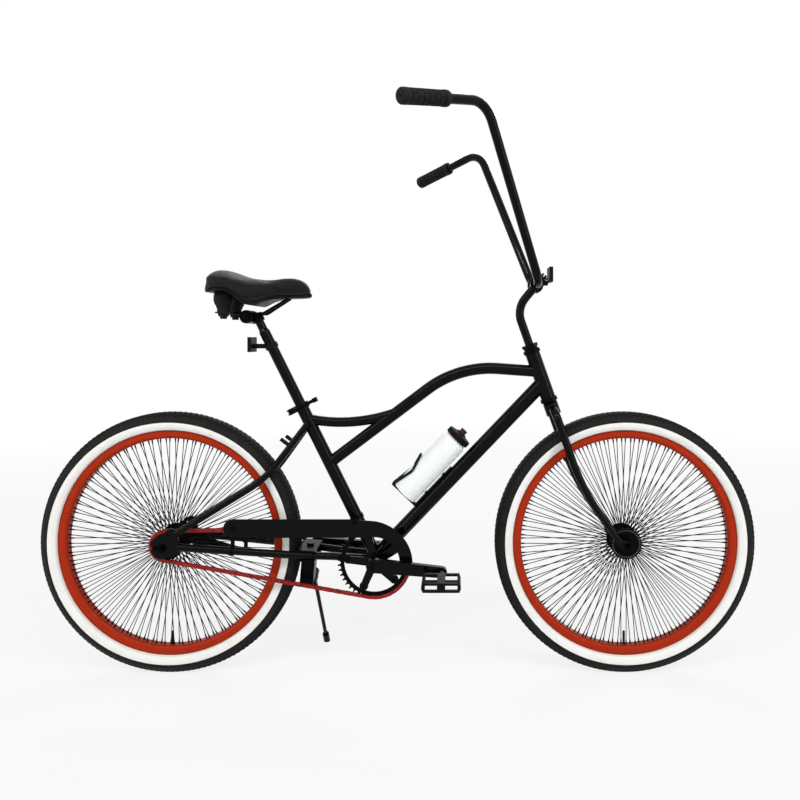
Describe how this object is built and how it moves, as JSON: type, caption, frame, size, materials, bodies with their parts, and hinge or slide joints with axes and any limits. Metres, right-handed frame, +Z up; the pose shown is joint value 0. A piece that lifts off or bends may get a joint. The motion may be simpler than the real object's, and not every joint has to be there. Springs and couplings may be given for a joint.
{
  "type": "beach cruiser bicycle",
  "caption": "Beach cruiser bicycle with swept black frame, tall raised handlebar, white-banded balloon tyres, orange rims, chain guard, wide saddle, kickstand and bottle in a cage.",
  "frame": {"origin": "on the ground, midway between the two axles in the bicycle's middle plane", "axes": "+X forwards, +Y to the rider's left, +Z up"},
  "size_m": [1.819, 0.8024, 1.3876],
  "materials": {
    "alloy_black": "black anodised",
    "bottle_white": "satin",
    "chain_red": "dark red lacquer",
    "frame_black": "gloss black paint",
    "grip_rubber": "ribbed rubber",
    "lens_clear": "prismatic",
    "lens_red": "prismatic",
    "nozzle_red": "satin",
    "plastic_black": "moulded",
    "rim_orange": "gloss orange-red paint",
    "saddle_black": "grained cover",
    "spoke_black": "black finish",
    "steel": "zinc plated",
    "tube_rubber": "butyl",
    "tyre_black": "moulded tread",
    "white_rubber": "white sidewall"
  },
  "bodies": {
    "frame": {"head_tube": "frame_black", "bottom_bracket_shell": "frame_black", "seat_tube": "frame_black", "top_tube": "frame_black", "down_tube": "frame_black", "brace_tube": "frame_black", "seat_stays": "frame_black", "chain_stays": "frame_black", "rear_dropouts": "frame_black", "bearing_cups": "spoke_black", "rear_axle": "steel", "chain": "chain_red", "chain_guard": "frame_black", "brake_arm": "spoke_black", "kickstand_bracket": "alloy_black", "seat_clamp_collar": "spoke_black", "bottle_cage": "plastic_black", "frame_fixings": "spoke_black"},
    "fork": {"fork": "frame_black", "headset_races": "spoke_black", "stem": "alloy_black", "stem_bolts": "steel", "handlebar": "frame_black", "grips": "grip_rubber", "front_reflector_bracket": "plastic_black", "front_reflector": "lens_clear", "front_axle": "steel"},
    "front_wheel": {"front_tyre": "tyre_black", "front_white_bands": "white_rubber", "front_rim": "rim_orange", "front_inner_tube": "tube_rubber", "front_hub": "alloy_black", "front_spokes": "spoke_black"},
    "rear_wheel": {"rear_tyre": "tyre_black", "rear_white_bands": "white_rubber", "rear_rim": "rim_orange", "rear_inner_tube": "tube_rubber", "rear_hub": "alloy_black", "rear_spokes": "spoke_black"},
    "driver": {"rear_sprocket": "spoke_black"},
    "crank": {"crank_spindle": "steel", "right_crank_arm": "alloy_black", "left_crank_arm": "alloy_black", "chainring": "spoke_black", "crank_bolts": "steel"},
    "right_pedal": {"right_pedal": "plastic_black"},
    "left_pedal": {"left_pedal": "plastic_black"},
    "seat": {"seat_post": "frame_black", "saddle_clamp": "alloy_black", "saddle_base": "plastic_black", "saddle_cushion": "saddle_black", "saddle_rails": "spoke_black", "saddle_elastomers": "grip_rubber", "rear_reflector_bracket": "plastic_black", "rear_reflector": "lens_red"},
    "clamp_lever": {"clamp_lever": "spoke_black"},
    "bottle": {"bottle": "bottle_white", "bottle_cap": "plastic_black"},
    "nozzle": {"bottle_nozzle": "nozzle_red"},
    "kickstand": {"kickstand_leg": "alloy_black"}
  },
  "joints": [
    {"name": "steering", "type": "hinge", "parent": "frame", "child": "fork", "pos_m": [0.52194, 0, 0.31097], "axis": [-0.3338, 0, 0.9426], "range_deg": [-80, 80]},
    {"name": "front_wheel_spin", "type": "hinge", "parent": "fork", "child": "front_wheel", "pos_m": [0.5785, 0, 0.331], "axis": [0, 1, 0], "continuous": true},
    {"name": "rear_wheel_spin", "type": "hinge", "parent": "frame", "child": "rear_wheel", "pos_m": [-0.5785, 0, 0.331], "axis": [0, 1, 0], "continuous": true},
    {"name": "crank_spin", "type": "hinge", "parent": "frame", "child": "crank", "pos_m": [-0.05558, 0, 0.2915], "axis": [0, 1, 0], "continuous": true, "deforming": ["chain"]},
    {"name": "sprocket_spin", "type": "hinge", "parent": "frame", "child": "driver", "pos_m": [-0.5785, 0, 0.331], "axis": [0, 1, 0], "continuous": true, "deforming": ["chain"]},
    {"name": "right_pedal_spin", "type": "hinge", "parent": "crank", "child": "right_pedal", "pos_m": [0.11364, 0, 0.27521], "axis": [0, 1, 0], "continuous": true},
    {"name": "left_pedal_spin", "type": "hinge", "parent": "crank", "child": "left_pedal", "pos_m": [-0.22479, 0, 0.30779], "axis": [0, 1, 0], "continuous": true},
    {"name": "seat_post_slide", "type": "slide", "parent": "frame", "child": "seat", "axis": [-0.4462, 0, 0.8949], "range_m": [-0.09, 0.045]},
    {"name": "clamp_lever_flip", "type": "hinge", "parent": "frame", "child": "clamp_lever", "pos_m": [-0.27062, -0.0254, 0.66365], "axis": [0.4462, 0, -0.8949], "range_deg": [0, 120]},
    {"name": "bottle_slide", "type": "slide", "parent": "frame", "child": "bottle", "axis": [0.6916, 0, 0.7223], "range_m": [0, 0.1]},
    {"name": "nozzle_pull", "type": "slide", "parent": "bottle", "child": "nozzle", "axis": [0.6916, 0, 0.7223], "range_m": [0, 0.006]},
    {"name": "kickstand_fold", "type": "hinge", "parent": "frame", "child": "kickstand", "pos_m": [-0.22558, 0.046, 0.232], "axis": [0, 0.9336, 0.3584], "range_deg": [0, 90]}
  ],
  "couplings": [
    {"joint": "sprocket_spin", "follows": "crank_spin", "ratio": 2.4444}
  ]
}
